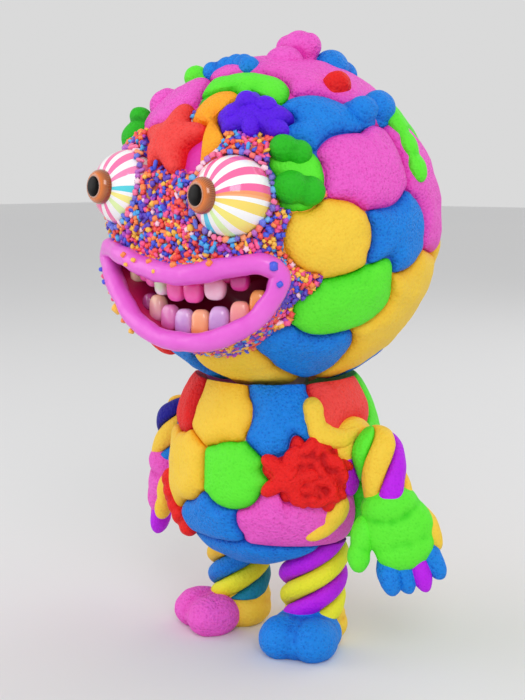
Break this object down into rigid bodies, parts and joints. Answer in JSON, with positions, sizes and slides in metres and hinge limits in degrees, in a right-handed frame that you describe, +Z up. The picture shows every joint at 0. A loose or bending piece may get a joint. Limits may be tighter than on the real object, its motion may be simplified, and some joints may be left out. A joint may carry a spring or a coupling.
{
  "type": "vinyl art toy",
  "caption": "Standing big-headed vinyl art toy dressed in puffy clay lumps, with bulging eyes, an open toothy grin, rope-like limbs and turning neck, shoulders and hips.",
  "frame": {"origin": "on the ground under the middle of the toy", "axes": "+Z up, the toy faces -Y and its left side is +X"},
  "size_m": [0.1538, 0.137, 0.2396],
  "materials": {
    "clay_yellow": "satin",
    "clay_lime": "satin",
    "clay_blue": "satin",
    "clay_pink": "satin",
    "clay_coral": "satin",
    "clay_purple": "satin",
    "lip_pink": "gloss",
    "iris_orange": "gloss",
    "eye_white": "gloss",
    "shell_vinyl": "gloss",
    "mouth_red": "gloss",
    "teeth_pink": "gloss",
    "teeth_lilac": "gloss",
    "sprinkle_mix": "satin"
  },
  "bodies": {
    "torso": {"torso_shell": "shell_vinyl", "neck_plug": "shell_vinyl", "clay_belly_star": "clay_coral", "clay_belly_lime": "clay_lime", "clay_chest_yellow": "clay_yellow", "clay_chest_blue": "clay_blue", "clay_shoulder_coral": "clay_coral", "clay_flank_yellow": "clay_yellow", "clay_chest_red": "clay_coral", "clay_hip_pink": "clay_pink", "clay_hip_blue": "clay_blue", "clay_under_belly": "clay_blue", "clay_back_left": "clay_lime", "clay_back_middle": "clay_yellow", "clay_back_right": "clay_pink"},
    "head": {"head_shell": "shell_vinyl", "face_bed": "sprinkle_mix", "mouth_liner": "mouth_red", "lips": "lip_pink", "upper_teeth": "teeth_pink", "lower_teeth": "teeth_lilac", "eyeball_left": "eye_white", "eyeball_right": "eye_white", "iris_left": "iris_orange", "iris_right": "iris_orange", "clay_brow_star": "clay_coral", "clay_brow_splat": "clay_purple", "clay_temple_knobs": "clay_lime", "clay_jaw_lime": "clay_lime", "clay_cheek_yellow": "clay_yellow", "clay_temple_pink": "clay_pink", "clay_brow_lime": "clay_lime", "clay_brow_blue": "clay_blue", "clay_crown_pink": "clay_pink", "clay_brow_pink": "clay_pink", "clay_chin_yellow": "clay_yellow", "clay_jaw_blue": "clay_blue", "clay_chin_blue": "clay_blue", "clay_side_blue": "clay_blue", "clay_side_pink": "clay_pink", "clay_side_yellow": "clay_yellow", "clay_back_lime": "clay_lime", "clay_back_blue": "clay_blue", "clay_back_coral": "clay_coral", "clay_nape_yellow": "clay_yellow", "clay_nape_pink": "clay_pink", "clay_nape_lime": "clay_lime", "clay_cheek_blue": "clay_blue", "clay_under_blue": "clay_blue", "clay_under_coral": "clay_coral", "clay_under_yellow": "clay_yellow", "clay_jaw_pink": "clay_pink"},
    "arm_left": {"arm_left": "clay_purple", "hand_left": "clay_lime"},
    "arm_right": {"arm_right": "clay_blue", "hand_right": "clay_pink"},
    "leg_left": {"leg_left": "clay_purple", "foot_left": "clay_blue"},
    "leg_right": {"leg_right": "clay_yellow", "foot_right": "clay_pink"}
  },
  "joints": [
    {"name": "neck_swivel", "type": "hinge", "parent": "torso", "child": "head", "pos_m": [0, 0.0036, 0.1004], "axis": [0, 0, 1], "continuous": true},
    {"name": "shoulder_left", "type": "hinge", "parent": "torso", "child": "arm_left", "pos_m": [0.05115, 0.0016, 0.082], "axis": [1, 0, 0], "range_deg": [-95, 50]},
    {"name": "shoulder_right", "type": "hinge", "parent": "torso", "child": "arm_right", "pos_m": [-0.05115, 0.0016, 0.082], "axis": [1, 0, 0], "range_deg": [-95, 50]},
    {"name": "hip_left", "type": "hinge", "parent": "torso", "child": "leg_left", "pos_m": [0.0195, 0.0036, 0.0434], "axis": [0, 0, 1], "range_deg": [-17, 25]},
    {"name": "hip_right", "type": "hinge", "parent": "torso", "child": "leg_right", "pos_m": [-0.0195, 0.0036, 0.0434], "axis": [0, 0, -1], "range_deg": [-17, 25]}
  ]
}
